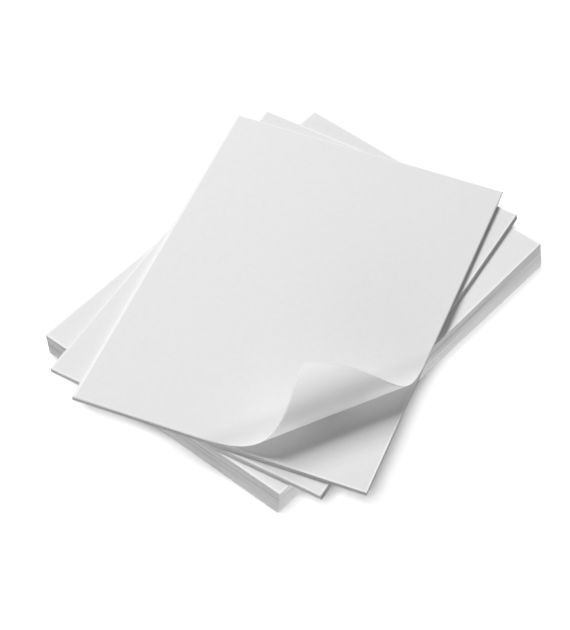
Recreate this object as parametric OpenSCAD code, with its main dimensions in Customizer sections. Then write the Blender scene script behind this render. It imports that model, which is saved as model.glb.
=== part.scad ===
// A loose ream of plain office paper, unwrapped and fanned by hand: a thick block at the bottom,
// a thin middle sheaf and a thin top sheaf, each turned further over the one below.
// The topmost sheet is rolled up and back at its front right corner.
// Every sheet is a solid of its own. Millimetres, +Z up, and the origin is the centre
// of the underside of the lowest sheet, whose long sides run along Y.

/* [Sheet] */
// Width of a sheet
sheet_w = 210; // [190:1:297]
// Length of a sheet
sheet_l = 297; // [240:1:420]
// Thickness of a sheet
sheet_t = 0.1; // [0.08:0.01:0.3]
// Air between two sheets that lie on each other
air_gap = 0.004; // [0.002:0.001:0.02]
// Sideways scatter of single sheets, either way
sheet_scatter = 0.12; // [0:0.01:0.5]
// Sideways scatter of whole bundles, either way
bundle_scatter = 0.28; // [0:0.01:1]
// Turn scatter of single sheets, either way, in degrees
turn_scatter = 0.04; // [0:0.01:0.2]

/* [Block] */
// Sheets in the block
block_sheets = 200; // [100:10:250]
// Sheets in each bundle of the block
block_bundle = 10; // [10:1:25]
// Lean of the block to the right, from its lowest to its highest sheet
block_lean_x = -1.5; // [-4:0.1:4]
// Lean of the block to the back, from its lowest to its highest sheet
block_lean_y = -1.3; // [-4:0.1:4]
// Turn from the block's lowest to its highest sheet, in degrees
block_turn = 0.8; // [-2:0.1:2]
// Depth below the block's top of the groove in its right side
right_groove = 5.2; // [1:0.1:15]
// Depth below the block's top of the upper groove in its front
front_groove_upper = 2.6; // [1:0.1:15]
// Depth below the block's top of the lower groove in its front
front_groove_lower = 7.2; // [1:0.1:15]
// Sheets that stand back together in a groove
groove_sheets = 5; // [2:1:20]
// Distance that they stand back
groove_set_back = 0.5; // [0.2:0.1:2]

/* [Middle sheaf] */
// Sheets in the middle sheaf
middle_sheets = 35; // [10:1:60]
// Sheets in each bundle of the middle sheaf
middle_bundle = 5; // [5:1:20]
// Turn of the middle sheaf over the block, in degrees
middle_turn = 9.9; // [0:0.1:20]
// Place of the middle sheaf's centre to the right of the block's
middle_x = -1.3; // [-10:0.1:10]
// Place of the middle sheaf's centre behind the block's
middle_y = -6.4; // [-10:0.1:10]
// Lean of the middle sheaf to its right, from its lowest to its highest sheet
middle_lean_x = -1; // [-3:0.1:3]

/* [Top sheaf] */
// Flat sheets in the top sheaf, under the curled one
top_sheets = 35; // [10:1:60]
// Sheets in each bundle of the top sheaf
top_bundle = 5; // [5:1:20]
// Turn of the top sheaf over the block, in degrees
top_turn = 18.3; // [0:0.1:30]
// Place of the top sheaf's centre to the right of the block's
top_x = 4.1; // [-10:0.1:10]
// Place of the top sheaf's centre behind the block's
top_y = -7; // [-10:0.1:10]
// Lean of the top sheaf to its right, from its lowest to its highest sheet
top_lean_x = 0.3; // [-3:0.1:3]

/* [Curled sheet] */
// Place of the curled sheet to the right of the sheet below it
curled_x = 0.5; // [-3:0.1:3]
// Angle from the front edge to the axis of the roll, in degrees
roll_angle = 48.4; // [42:0.1:55]
// Distance from the corner, square to that axis, at which the sheet lifts
roll_reach = 93.5; // [75:0.5:120]
// Share of that distance along which the bend tightens
roll_ease = 0.53; // [0.4:0.01:0.7]
// Tightest radius of the roll
roll_r = 14.4; // [12:0.1:30]
// Radius of the bend at the corner's tip
tip_r = 55; // [30:1:200]
// Strips that the bend is made of
roll_strips = 36; // [18:2:60]

/* [Hidden] */
pitch = sheet_t + air_gap;
block_h = block_sheets * pitch;
middle_h = middle_sheets * pitch;
top_h = top_sheets * pitch;
block_bundles = ceil(block_sheets / block_bundle);
middle_bundles = ceil(middle_sheets / middle_bundle);
top_bundles = ceil(top_sheets / top_bundle);
paper = [0.97, 0.97, 0.96];
scatter_seed = 80;

function bundle_name(sheaf, k) = str(sheaf, k < 9 ? "_0" : "_", k + 1);

// Repeatable scatter: value i of a run between -1 and 1 that the seed picks
function scatter(i, seed) = rands(-1, 1, i + 1, seed)[i];

// One flat sheet, its underside at z = 0
module flat_sheet() {
    translate([-sheet_w / 2, -sheet_l / 2, 0])
        cube([sheet_w, sheet_l, sheet_t]);
}

// 1 for a sheet of the block in the groove at that depth below its top, or 0
function in_groove(i, depth) =
    let (above = i - floor((block_h - depth) / pitch))
    above >= 0 && above < groove_sheets ? 1 : 0;

// How far sheet i of the block stands back from its right side and its front
function set_back(i) = groove_set_back * [
    -in_groove(i, right_groove),
    max(in_groove(i, front_groove_upper), in_groove(i, front_groove_lower))
];

// Sheets first to last - 1 of a sheaf of count sheets, each with its share of the lean and turn.
// The lowest and highest sheets of a sheaf are unscattered, so the sheaves stay where they are put.
module sheets(first, last, count, size, lean_x, lean_y, turn, seed, grooved = false) {
    for (i = [first:min(last, count) - 1]) {
        rise = count > 1 ? i / (count - 1) : 0;
        held = (i == 0 || i == count - 1) ? 0 : 1;
        k = floor(i / size);
        back = grooved ? set_back(i) : [0, 0];
        dx = back[0] + scatter(k, seed) * bundle_scatter + scatter(i, seed + 1) * sheet_scatter;
        dy = back[1] + scatter(k, seed + 2) * bundle_scatter + scatter(i, seed + 3) * sheet_scatter;
        spin = scatter(i, seed + 4) * turn_scatter;
        translate([lean_x * rise + held * dx, lean_y * rise + held * dy, i * pitch])
            rotate(turn * rise + held * spin)
                flat_sheet();
    }
}

// Puts its children on the block's highest sheet, moved and turned over it
module on_block(x, y, z, turn) {
    translate([block_lean_x, block_lean_y, block_h + z])
        rotate(block_turn)
            translate([x, y, 0])
                rotate(turn)
                    children();
}

module block_bundle_of(k) {
    color(paper)
        sheets(k * block_bundle, (k + 1) * block_bundle, block_sheets, block_bundle,
            block_lean_x, block_lean_y, block_turn, scatter_seed, grooved = true);
}

module middle_bundle_of(k) {
    color(paper)
        on_block(middle_x, middle_y, 0, middle_turn)
            translate([-middle_lean_x, 0, 0])
                sheets(k * middle_bundle, (k + 1) * middle_bundle, middle_sheets, middle_bundle,
                    middle_lean_x, 0, 0, scatter_seed + 10);
}

module top_bundle_of(k) {
    color(paper)
        on_block(top_x, top_y, middle_h, top_turn)
            translate([-top_lean_x, 0, 0])
                sheets(k * top_bundle, (k + 1) * top_bundle, top_sheets, top_bundle,
                    top_lean_x, 0, 0, scatter_seed + 20);
}

// The roll: s runs square to the roll's axis, from where the sheet lifts (0) to the tip (roll_reach).
// The curvature grows evenly to 1 / roll_r at the end of the ease, then falls evenly to 1 / tip_r.
ease_s = roll_ease * roll_reach;
tight = 1 / roll_r;
loosening = (1 / tip_r - tight) / (roll_reach - ease_s);
radian = 180 / PI;
step_s = roll_reach / roll_strips;

// Angle of the sheet to the flat at s, in degrees: the curvature summed along s
function bend_at(s) = s <= ease_s
    ? radian * tight * s * s / (2 * ease_s)
    : radian * (tight * ease_s / 2 + tight * (s - ease_s) + loosening * pow(s - ease_s, 2) / 2);

// Points [along the flat, up] at the edges of the strips, summed strip by strip
roll_path = [
    for (i = 0, p = [0, 0]; i <= roll_strips;
        p = p + step_s * [cos(bend_at((i + 0.5) * step_s)), sin(bend_at((i + 0.5) * step_s))], i = i + 1) p
];

// Unit vectors in the plane of the sheet: along the roll's axis, and square to it towards the corner
axis_u = [cos(roll_angle), sin(roll_angle), 0];
corner_u = [sin(roll_angle), -cos(roll_angle), 0];
corner = [sheet_w / 2, -sheet_l / 2, 0];

// A point of the bent sheet: strip edge i, distance t along the axis from the corner's foot,
// and side 0 for the underside or 1 for the upper side
function bent(i, t, side) =
    let (a = bend_at(i * step_s), lift = (side - 0.5) * sheet_t)
    corner + t * axis_u
        + (roll_path[i][0] - roll_reach - lift * sin(a)) * corner_u
        + [0, 0, roll_path[i][1] + sheet_t / 2 + lift * cos(a)];

// Where strip edge i meets the front edge and the right edge of the sheet, as distances along the axis
function front_t(i) = -(roll_reach - i * step_s) / tan(roll_angle);
function right_t(i) = (roll_reach - i * step_s) * tan(roll_angle);

// Vertices: the flat part's far corners, then the two ends of every strip edge but the last, then the tip,
// all of them first on the underside and then on the upper side
far_corners = [[-sheet_w / 2, -sheet_l / 2], [-sheet_w / 2, sheet_l / 2], [sheet_w / 2, sheet_l / 2]];
function side_points(side) = concat(
    [for (c = far_corners) [c[0], c[1], side * sheet_t]],
    [for (i = [0:roll_strips - 1]) for (t = [front_t(i), right_t(i)]) bent(i, t, side)],
    [bent(roll_strips, 0, side)]
);
n_far = len(far_corners);
n_side = n_far + 2 * roll_strips + 1;
tip = n_side - 1;
function front_v(i) = i < roll_strips ? n_far + 2 * i : tip;
function right_v(i) = i < roll_strips ? n_far + 2 * i + 1 : tip;

// Faces of the upper side, clockwise seen from outside: the flat part, the strips, and the tip's triangle
upper_faces = concat(
    [[0, 1, 2, right_v(0), front_v(0)]],
    [for (i = [0:roll_strips - 2]) [front_v(i), right_v(i), right_v(i + 1), front_v(i + 1)]],
    [[front_v(roll_strips - 1), right_v(roll_strips - 1), tip]]
);
// The rim, in order round the sheet
rim = concat(
    [0, 1, 2],
    [for (i = [0:roll_strips - 1]) right_v(i)],
    [tip],
    [for (i = [roll_strips - 1:-1:0]) front_v(i)]
);
function reversed(list) = [for (i = [len(list) - 1:-1:0]) list[i]];
function raised(list) = [for (v = list) v + n_side];
edge_faces = [
    for (k = [0:len(rim) - 1])
        let (a = rim[k], b = rim[(k + 1) % len(rim)])
        for (f = [[a, b, b + n_side], [a, b + n_side, a + n_side]]) f
];

module curled_top_sheet() {
    color(paper)
        on_block(top_x + curled_x, top_y, middle_h + top_h, top_turn)
            polyhedron(
                points = concat(side_points(0), side_points(1)),
                faces = concat(
                    [for (f = upper_faces) raised(f)],
                    [for (f = upper_faces) reversed(f)],
                    edge_faces
                ),
                convexity = 4
            );
}

for (k = [0:block_bundles - 1])
    block_bundle_of(k);
for (k = [0:middle_bundles - 1])
    middle_bundle_of(k);
for (k = [0:top_bundles - 1])
    top_bundle_of(k);
curled_top_sheet();
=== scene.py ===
"""Looks of a loose ream of office paper, fanned in three groups, its top sheet's corner rolled back.

Lengths are in metres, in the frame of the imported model: +Z up, and the origin in the middle of the
block's underside. The flat sheets are the model's own solids with a paper material. The curled sheet
is made here, smooth, on the place of its solid.
"""

import math

import bpy
import numpy as np
from mathutils import Matrix, Vector


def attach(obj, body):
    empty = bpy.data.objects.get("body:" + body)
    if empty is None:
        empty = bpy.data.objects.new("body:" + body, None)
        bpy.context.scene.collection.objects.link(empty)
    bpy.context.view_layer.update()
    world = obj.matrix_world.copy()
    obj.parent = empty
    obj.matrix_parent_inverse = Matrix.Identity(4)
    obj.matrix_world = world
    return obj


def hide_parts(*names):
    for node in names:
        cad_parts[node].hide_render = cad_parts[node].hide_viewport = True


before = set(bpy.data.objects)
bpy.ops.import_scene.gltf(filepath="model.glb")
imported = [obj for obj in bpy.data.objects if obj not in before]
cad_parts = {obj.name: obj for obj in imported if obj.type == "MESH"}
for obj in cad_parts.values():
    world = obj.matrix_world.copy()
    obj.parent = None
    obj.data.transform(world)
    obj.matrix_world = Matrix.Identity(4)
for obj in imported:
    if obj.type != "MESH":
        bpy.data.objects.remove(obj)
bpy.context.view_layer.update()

MM = 0.001

# The sheet, as in the part
SHEET_W = 210 * MM
SHEET_L = 297 * MM
SHEET_T = 0.1 * MM
AIR_GAP = 0.004 * MM

# The curled sheet's place on the sheet below it, and its roll, as in the part
CURLED_X = 0.5 * MM
ROLL_ANGLE = math.radians(48.4)
ROLL_REACH = 93.5 * MM
ROLL_EASE = 0.53
ROLL_R = 14.4 * MM
TIP_R = 55 * MM

# Steps in which the roll's path is added up, and size of a cell of the curled sheet's mesh
ROLL_STEPS = 400
CELL = 1.5 * MM

# Distances from the edge over which the painted highlight on the rim of a sheet's face fades
PAINTED_HIGHLIGHT_FROM = 0.7 * MM
PAINTED_HIGHLIGHT_TO = 2.0 * MM

# Share of the light that goes through the lifted sheet, and how far past the fold it grows to that
THROUGH = 0.36
THROUGH_FROM = 2 * MM
THROUGH_TO = 22 * MM

# Colours of the paper: its faces, the painted highlight of their rim, the lifted sheet, and the painted
# shade and light of the lines of the cut edges
PAPER_DULL = (0.825, 0.825, 0.83, 1)
PAPER_CLEAR = (0.84, 0.84, 0.838, 1)
PAINTED_RIM_HIGHLIGHT = (0.93, 0.93, 0.93, 1)
PAPER_LIFTED = (0.89, 0.89, 0.89, 1)
PAINTED_SIDE_SHADE = (0.47, 0.47, 0.47, 1)
PAINTED_SIDE_LIGHT = (1.0, 1.0, 1.0, 1)

# How the paper shines
PAPER_ROUGHNESS = 0.85
PAPER_SPECULAR = 0.25

# Noise cells in a metre: for the painted light and dark lines along and up a stack's sides, the clouds and
# the fibres
LINE_CELLS = (5, 5, 320)
CLOUD_CELLS = 260
FIBRE_CELLS = 2200

# The noise's values that give the darkest and the lightest tone
NOISE_DARK = 0.3
NOISE_LIGHT = 0.7

# How far the fibres stand out, and how strongly
FIBRE_HEIGHT = 0.05 * MM
FIBRE_STRENGTH = 0.12

# Upward share of the normal, up to which a surface is a cut edge and from which it is a face
SIDE_UPWARD = 0.3
FACE_UPWARD = 0.7

# Height over the table up to which a stack's sides are painted lighter
PAINTED_FOOT_LIGHT_HEIGHT = 12 * MM

# The floor's size, and its lightness as it is seen and as it lights the object
FLOOR_SIZE = 8
FLOOR_SEEN = 0.8
FLOOR_BOUNCE = 0.4

# How far from the object the floor's contact shadow reaches, how deep it is and how fast it fades
CONTACT_REACH = 15 * MM
CONTACT_DEPTH = 1.25
CONTACT_FADE = 1.8
CONTACT_SAMPLES = 8

# The sky's colour, and how strongly it lights the object and is seen
WHITE = (1, 1, 1, 1)
SKY_LIGHT = 0.13
SKY_SEEN = 1.0

# The photograph's frame, and the camera that fits the sheets' edges in it
PHOTO_H_PX = 630
FOCAL_PX = 2206.6
CAMERA_AZ = math.radians(38.08)
CAMERA_EL = math.radians(48.69)
CAMERA_ROLL = math.radians(2.78)
CAMERA_TARGET = Vector((7.67, -27.21, 20.8)) * MM
CAMERA_DISTANCE = 1544.2 * MM
SENSOR_H_MM = 24
CLIP_NEAR = 0.01
CLIP_FAR = 50


def nodes_of(group):
    """Names of the nodes of a group of sheets, the lowest first."""
    return sorted(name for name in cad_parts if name.startswith(group))


def sheet_place(name):
    """Centre and turn of the upper face of a node's highest sheet, from its corners."""
    points = np.array([v.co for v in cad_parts[name].data.vertices])
    top = points[points[:, 2] > points[:, 2].max() - SHEET_T / 10]
    front_right = top[top[:, 0].argmax()]
    back_right = top[top[:, 1].argmax()]
    back_left = top[top[:, 0].argmin()]
    front_left = top[top[:, 1].argmin()]
    centre = (front_right + back_right + back_left + front_left) / 4
    long_side = back_right - front_right
    turn = math.atan2(-long_side[0], long_side[1])
    return Vector(centre), turn


# Shader nodes


def empty_tree(owner):
    """The node tree of a material or world, cleared."""
    owner.use_nodes = True
    owner.node_tree.nodes.clear()
    return owner.node_tree


def add_node(tree, kind, inputs=None, **settings):
    """Adds a shader node, with its settings and its sockets' values or links."""
    node = tree.nodes.new(kind)
    for name, value in settings.items():
        setattr(node, name, value)
    for name, value in (inputs or {}).items():
        socket = node.inputs[name]
        if isinstance(value, bpy.types.NodeSocket):
            tree.links.new(value, socket)
        else:
            socket.default_value = value
    return node


def math_node(tree, operation, *values):
    """A Math node's result for values that are numbers or sockets."""
    node = add_node(tree, "ShaderNodeMath", dict(enumerate(values)), operation=operation)
    return node.outputs[0]


def ramp_node(tree, value, start, end, low=0.0, high=1.0):
    """A smooth step from low to high while the value goes from start to end."""
    limits = {"Value": value, "From Min": start, "From Max": end, "To Min": low, "To Max": high}
    node = add_node(tree, "ShaderNodeMapRange", limits, interpolation_type="SMOOTHSTEP")
    return node.outputs[0]


def noise_node(tree, position, cells, detail, roughness):
    """A noise with so many cells to each unit of the position."""
    inputs = {"Vector": position, "Scale": cells, "Detail": detail, "Roughness": roughness}
    return add_node(tree, "ShaderNodeTexNoise", inputs).outputs["Fac"]


def mixed_color(tree, factor, first, second):
    """A colour between two that are given as values or sockets."""
    inputs = {"Factor": factor, "A": first, "B": second}
    return add_node(tree, "ShaderNodeMix", inputs, data_type="RGBA").outputs["Result"]


def seen_share(tree):
    """1 for the rays by which a surface is seen, also in a gloss or through glass, and 0 for its light."""
    path = add_node(tree, "ShaderNodeLightPath")
    rays = math_node(tree, "MAXIMUM", path.outputs["Is Camera Ray"], path.outputs["Is Glossy Ray"])
    return math_node(tree, "MAXIMUM", rays, path.outputs["Is Transmission Ray"])


# Paper


def painted_strata_light_and_shade(tree, position):
    """Painted light and shade: light and dark lines round the sides of a stack, for sheets that stand a
    little out or back.

    Near the table the sides are painted lighter.
    """
    stretched = add_node(tree, "ShaderNodeMapping", {"Vector": position, "Scale": LINE_CELLS})
    lines = noise_node(tree, stretched.outputs[0], cells=1.0, detail=5.0, roughness=0.75)
    painted_lines = ramp_node(tree, lines, NOISE_DARK, NOISE_LIGHT)
    height = add_node(tree, "ShaderNodeSeparateXYZ", {"Vector": position})
    # Painted light: the sides get lighter towards the table
    low = ramp_node(tree, height.outputs["Z"], 0.0, PAINTED_FOOT_LIGHT_HEIGHT, 1.0, 0.0)
    rest = math_node(tree, "SUBTRACT", 1.0, low)
    return math_node(tree, "MULTIPLY_ADD", painted_lines, rest, low)


def side_share(tree):
    """1 on a sheet's cut edges and 0 on its faces."""
    geometry = add_node(tree, "ShaderNodeNewGeometry")
    facing = add_node(tree, "ShaderNodeSeparateXYZ", {"Vector": geometry.outputs["True Normal"]})
    upright = math_node(tree, "ABSOLUTE", facing.outputs["Z"])
    return ramp_node(tree, upright, SIDE_UPWARD, FACE_UPWARD, 1.0, 0.0)


def sheet_axes(tree, coordinates, place):
    """Place across and along a sheet, from its centre. It comes from the sheet's place or its UVs."""
    if place is None:
        flat = coordinates.outputs["UV"]
    else:
        centre, turn = place
        inputs = {"Vector": coordinates.outputs["Object"], "Location": centre, "Rotation": (0, 0, turn)}
        flat = add_node(tree, "ShaderNodeMapping", inputs, vector_type="TEXTURE").outputs["Vector"]
    return add_node(tree, "ShaderNodeSeparateXYZ", {"Vector": flat})


def distance_to_edge(tree, axes):
    """Distance from a point of the sheet to the nearest of its four edges."""
    across = math_node(tree, "ABSOLUTE", axes.outputs["X"])
    along = math_node(tree, "ABSOLUTE", axes.outputs["Y"])
    to_side = math_node(tree, "SUBTRACT", SHEET_W / 2, across)
    to_end = math_node(tree, "SUBTRACT", SHEET_L / 2, along)
    return math_node(tree, "MINIMUM", to_side, to_end)


def distance_past_fold(tree, axes):
    """Distance from the line where the sheet lifts, towards its rolled corner."""
    across = math_node(tree, "SUBTRACT", axes.outputs["X"], SHEET_W / 2)
    along = math_node(tree, "ADD", axes.outputs["Y"], SHEET_L / 2)
    across = math_node(tree, "MULTIPLY", across, math.sin(ROLL_ANGLE))
    past = math_node(tree, "MULTIPLY_ADD", along, -math.cos(ROLL_ANGLE), across)
    return math_node(tree, "ADD", past, ROLL_REACH)


def face_color(tree, position, axes):
    """White with faint clouds, and a painted highlight on the rim along the sheet's edges."""
    clouds = noise_node(tree, position, CLOUD_CELLS, detail=4.0, roughness=0.6)
    clouded = ramp_node(tree, clouds, NOISE_DARK, NOISE_LIGHT)
    color = mixed_color(tree, clouded, PAPER_DULL, PAPER_CLEAR)
    # A painted highlight along the sheet's edges
    painted_rim_highlight = ramp_node(tree, distance_to_edge(tree, axes), PAINTED_HIGHLIGHT_FROM, PAINTED_HIGHLIGHT_TO, 1.0, 0.0)
    return mixed_color(tree, painted_rim_highlight, color, PAINTED_RIM_HIGHLIGHT)


def paper_shader(tree, position, color):
    """Uncoated paper of that colour, with fine fibres."""
    fibres = noise_node(tree, position, FIBRE_CELLS, detail=3.0, roughness=0.55)
    inputs = {"Height": fibres, "Strength": FIBRE_STRENGTH, "Distance": FIBRE_HEIGHT}
    bump = add_node(tree, "ShaderNodeBump", inputs)
    inputs = {
        "Base Color": color,
        "Roughness": PAPER_ROUGHNESS,
        "Specular IOR Level": PAPER_SPECULAR,
        "Normal": bump.outputs[0],
    }
    return add_node(tree, "ShaderNodeBsdfPrincipled", inputs).outputs["BSDF"]


def paper_material(name, place=None):
    """White office paper: of a stack whose highest sheet has that place, or else of the curled sheet."""
    material = bpy.data.materials.new(name)
    tree = empty_tree(material)
    coordinates = add_node(tree, "ShaderNodeTexCoord")
    position = coordinates.outputs["Object"]
    axes = sheet_axes(tree, coordinates, place)
    color = face_color(tree, position, axes)
    if place is None:
        lifted = ramp_node(tree, distance_past_fold(tree, axes), THROUGH_FROM, THROUGH_TO)
        color = mixed_color(tree, lifted, color, PAPER_LIFTED)
        surface = paper_shader(tree, position, color)
        share = math_node(tree, "MULTIPLY", lifted, THROUGH)
        behind = add_node(tree, "ShaderNodeBsdfTranslucent", {"Color": color})
        mix = add_node(tree, "ShaderNodeMixShader", {0: share, 1: surface, 2: behind.outputs[0]})
        surface = mix.outputs[0]
    else:
        # The cut edges are painted with shade and light: darker overall, with light and dark lines, and
        # lighter near the table
        side = mixed_color(tree, painted_strata_light_and_shade(tree, position), PAINTED_SIDE_SHADE, PAINTED_SIDE_LIGHT)
        color = mixed_color(tree, side_share(tree), color, side)
        surface = paper_shader(tree, position, color)
    add_node(tree, "ShaderNodeOutputMaterial", {"Surface": surface})
    return material


# The curled sheet


def roll_path():
    """Distances s from the fold at even steps, and how far along the flat and up the roll has got."""
    ease_s = ROLL_EASE * ROLL_REACH
    tight = 1 / ROLL_R
    loosening = (1 / TIP_R - tight) / (ROLL_REACH - ease_s)

    def bend_at(s):
        past = np.maximum(s - ease_s, 0)
        eased = tight * np.minimum(s, ease_s) ** 2 / (2 * ease_s)
        return eased + tight * past + loosening * past**2 / 2

    step = ROLL_REACH / ROLL_STEPS
    middles = (np.arange(ROLL_STEPS) + 0.5) * step
    along = np.concatenate([[0], np.cumsum(np.cos(bend_at(middles))) * step])
    up = np.concatenate([[0], np.cumsum(np.sin(bend_at(middles))) * step])
    s = np.arange(ROLL_STEPS + 1) * step
    return s, along, up


def rolled(u, v):
    """Places in space, in the sheet's own frame, of points (u, v) of the flat sheet."""
    axis_u = np.array([math.cos(ROLL_ANGLE), math.sin(ROLL_ANGLE)])
    corner_u = np.array([math.sin(ROLL_ANGLE), -math.cos(ROLL_ANGLE)])
    du = u - SHEET_W / 2
    dv = v + SHEET_L / 2
    t = du * axis_u[0] + dv * axis_u[1]
    s = ROLL_REACH + du * corner_u[0] + dv * corner_u[1]
    path_s, path_along, path_up = roll_path()
    along = np.where(s > 0, np.interp(s, path_s, path_along), s)
    up = np.where(s > 0, np.interp(s, path_s, path_up), 0)
    x = SHEET_W / 2 + t * axis_u[0] + (along - ROLL_REACH) * corner_u[0]
    y = -SHEET_L / 2 + t * axis_u[1] + (along - ROLL_REACH) * corner_u[1]
    return x, y, up


def make_curled_sheet(material):
    """The top sheet: a fine grid bent about the roll's axis, given the thickness of paper."""
    cells_u = round(SHEET_W / CELL)
    cells_v = round(SHEET_L / CELL)
    u, v = np.meshgrid(
        np.linspace(-SHEET_W / 2, SHEET_W / 2, cells_u + 1),
        np.linspace(-SHEET_L / 2, SHEET_L / 2, cells_v + 1),
    )
    u, v = u.ravel(), v.ravel()
    x, y, z = rolled(u, v)
    row = cells_u + 1
    faces = []
    for j in range(cells_v):
        for i in range(cells_u):
            a = j * row + i
            faces.append((a, a + 1, a + row + 1, a + row))
    mesh = bpy.data.meshes.new("curled_sheet")
    mesh.from_pydata(np.column_stack([x, y, z]).tolist(), [], faces)
    flat_map = mesh.uv_layers.new(name="flat")
    corners = np.array([loop.vertex_index for loop in mesh.loops])
    flat_map.data.foreach_set("uv", np.column_stack([u[corners], v[corners]]).ravel())
    mesh.shade_smooth()
    mesh.materials.append(material)

    below, turn = sheet_place(nodes_of("top")[-1])
    place = Matrix.Translation(below + Vector((0, 0, AIR_GAP + SHEET_T / 2)))
    place = place @ Matrix.Rotation(turn, 4, "Z") @ Matrix.Translation((CURLED_X, 0, 0))
    mesh.transform(place)
    sheet = bpy.data.objects.new("curled_sheet", mesh)
    bpy.context.scene.collection.objects.link(sheet)
    thickness = sheet.modifiers.new("thickness", "SOLIDIFY")
    thickness.thickness = SHEET_T
    thickness.offset = 0
    return sheet


# Floor and sky


def make_floor():
    """A wide white floor that keeps the object's soft shadow and darkens close to its foot."""
    bpy.ops.mesh.primitive_plane_add(size=FLOOR_SIZE)
    floor = bpy.context.object
    floor.name = "floor"
    material = bpy.data.materials.new("floor")
    tree = empty_tree(material)
    inputs = {"Distance": CONTACT_REACH}
    near = add_node(tree, "ShaderNodeAmbientOcclusion", inputs, samples=CONTACT_SAMPLES)
    hidden = math_node(tree, "SUBTRACT", 1.0, near.outputs["AO"])
    hidden = math_node(tree, "POWER", hidden, CONTACT_FADE)
    contact = math_node(tree, "MULTIPLY_ADD", hidden, -CONTACT_DEPTH, 1.0)
    seen = math_node(tree, "MULTIPLY", contact, FLOOR_SEEN)
    inputs = {"Factor": seen_share(tree), "A": FLOOR_BOUNCE, "B": seen}
    level = add_node(tree, "ShaderNodeMix", inputs).outputs["Result"]
    inputs = {"Red": level, "Green": level, "Blue": level}
    color = add_node(tree, "ShaderNodeCombineColor", inputs)
    surface = add_node(tree, "ShaderNodeBsdfDiffuse", {"Color": color.outputs[0]})
    add_node(tree, "ShaderNodeOutputMaterial", {"Surface": surface.outputs[0]})
    floor.data.materials.append(material)
    return floor


def make_sky():
    """An even pale sky, white to the camera."""
    world = bpy.data.worlds.new("studio")
    bpy.context.scene.world = world
    tree = empty_tree(world)
    light = add_node(tree, "ShaderNodeBackground", {"Color": WHITE, "Strength": SKY_LIGHT})
    white = add_node(tree, "ShaderNodeBackground", {"Color": WHITE, "Strength": SKY_SEEN})
    inputs = {0: seen_share(tree), 1: light.outputs[0], 2: white.outputs[0]}
    sky = add_node(tree, "ShaderNodeMixShader", inputs)
    add_node(tree, "ShaderNodeOutputWorld", {"Surface": sky.outputs[0]})


# Lamps


def add_lamp(data, azimuth, elevation, distance=0.0):
    """A lamp that faces the object from that azimuth, clockwise from the back, and that elevation."""
    azimuth = math.radians(azimuth)
    elevation = math.radians(elevation)
    across = math.cos(elevation)
    away = Vector((math.sin(azimuth) * across, math.cos(azimuth) * across, math.sin(elevation)))
    lamp = bpy.data.objects.new(data.name, data)
    lamp.location = away * distance
    lamp.rotation_euler = away.to_track_quat("Z", "Y").to_euler()
    bpy.context.scene.collection.objects.link(lamp)
    return lamp


def make_soft_box(name, azimuth, elevation, distance, width, height, power):
    """An oblong soft box."""
    data = bpy.data.lights.new(name, "AREA")
    data.shape = "RECTANGLE"
    data.size = width
    data.size_y = height
    data.energy = power
    return add_lamp(data, azimuth, elevation, distance)


def make_far_light(name, azimuth, elevation, angle, strength):
    """A wide soft light from far away."""
    data = bpy.data.lights.new(name, "SUN")
    data.angle = math.radians(angle)
    data.energy = strength
    return add_lamp(data, azimuth, elevation)


def light_only(lamp, objects):
    """Keeps a lamp's light to those objects."""
    lit = bpy.data.collections.new("lit_by_" + lamp.name)
    for obj in objects:
        lit.objects.link(obj)
    lamp.light_linking.receiver_collection = lit


# The camera


def make_camera():
    """The camera that fits the photograph, its roll taken about its own line of sight."""
    data = bpy.data.cameras.new("camera")
    data.sensor_fit = "VERTICAL"
    data.sensor_height = SENSOR_H_MM
    data.lens = FOCAL_PX / PHOTO_H_PX * SENSOR_H_MM
    data.clip_start = CLIP_NEAR
    data.clip_end = CLIP_FAR
    camera = bpy.data.objects.new("camera", data)
    back = Vector(
        (
            math.sin(CAMERA_AZ) * math.cos(CAMERA_EL),
            -math.cos(CAMERA_AZ) * math.cos(CAMERA_EL),
            math.sin(CAMERA_EL),
        )
    )
    right = Vector((math.cos(CAMERA_AZ), math.sin(CAMERA_AZ), 0))
    up = back.cross(right)
    rolled_right = right * math.cos(CAMERA_ROLL) + up * math.sin(CAMERA_ROLL)
    rolled_up = up * math.cos(CAMERA_ROLL) - right * math.sin(CAMERA_ROLL)
    turn = Matrix((rolled_right, rolled_up, back)).transposed()
    camera.matrix_world = Matrix.Translation(CAMERA_TARGET + back * CAMERA_DISTANCE) @ turn.to_4x4()
    bpy.context.scene.collection.objects.link(camera)
    bpy.context.scene.camera = camera


# The scene

for group in ("block", "middle", "top"):
    names = nodes_of(group)
    paper = paper_material(group + "_paper", sheet_place(names[-1]))
    for name in names:
        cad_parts[name].material_slots[0].material = paper

curled = make_curled_sheet(paper_material("curled_paper"))
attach(curled, "root")
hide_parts("curled_top_sheet")

floor = make_floor()
make_sky()
make_soft_box("key", azimuth=-95, elevation=66, distance=3.2, width=0.87, height=0.87, power=48.5)
make_soft_box("broad", azimuth=-75, elevation=52, distance=3.2, width=1.9, height=0.87, power=45.5)
make_soft_box("fill", azimuth=155, elevation=12, distance=2.2, width=1.2, height=0.5, power=9)

# The floor is white by a light of its own, which puts no more light on the object
floor_light = make_far_light("floor_light", azimuth=157, elevation=55, angle=28, strength=3.9)
light_only(floor_light, [floor])

# A low light shows the block's sides
side = make_soft_box("side", azimuth=95, elevation=4, distance=2.2, width=1.2, height=0.4, power=22)
light_only(side, [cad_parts[name] for name in nodes_of("block")])

make_camera()
bpy.context.scene.view_settings.view_transform = "Standard"
